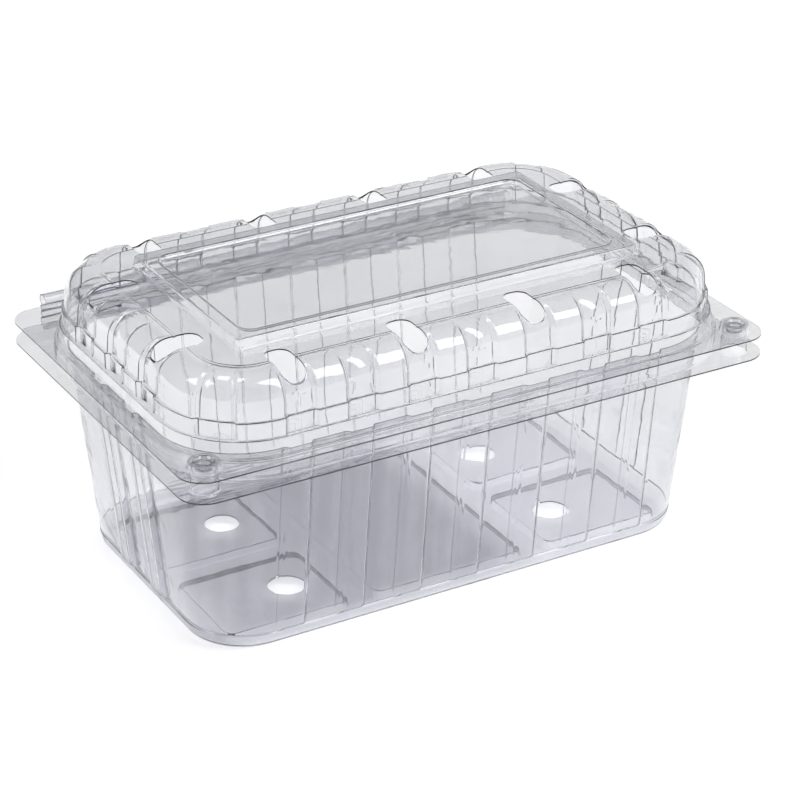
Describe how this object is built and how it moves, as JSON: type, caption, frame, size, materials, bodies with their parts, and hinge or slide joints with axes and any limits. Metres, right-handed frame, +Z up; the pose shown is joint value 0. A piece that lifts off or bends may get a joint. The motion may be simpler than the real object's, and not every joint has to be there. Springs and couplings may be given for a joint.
{
  "type": "hinged food container",
  "caption": "Clear hinged food container: ribbed tray with a holed floor, fluted and vented domed lid with a raised top panel, corner snaps and a hinge strip.",
  "frame": {"origin": "on the standing plane, under the middle of the closed container's bounding box", "axes": "+X along the hinge, +Y from the front edge to the hinge, +Z up"},
  "size_m": [0.19, 0.1294, 0.0916],
  "materials": {
    "tray_sheet": "clear thermoformed sheet",
    "lid_sheet": "clear thermoformed sheet"
  },
  "bodies": {
    "tray": {"tray": "tray_sheet"},
    "lid": {"lid": "lid_sheet"}
  },
  "joints": [
    {"name": "lid_hinge", "type": "hinge", "parent": "tray", "child": "lid", "pos_m": [0, 0.06485, 0.064], "axis": [-1, 0, 0], "range_deg": [0, 180]}
  ]
}
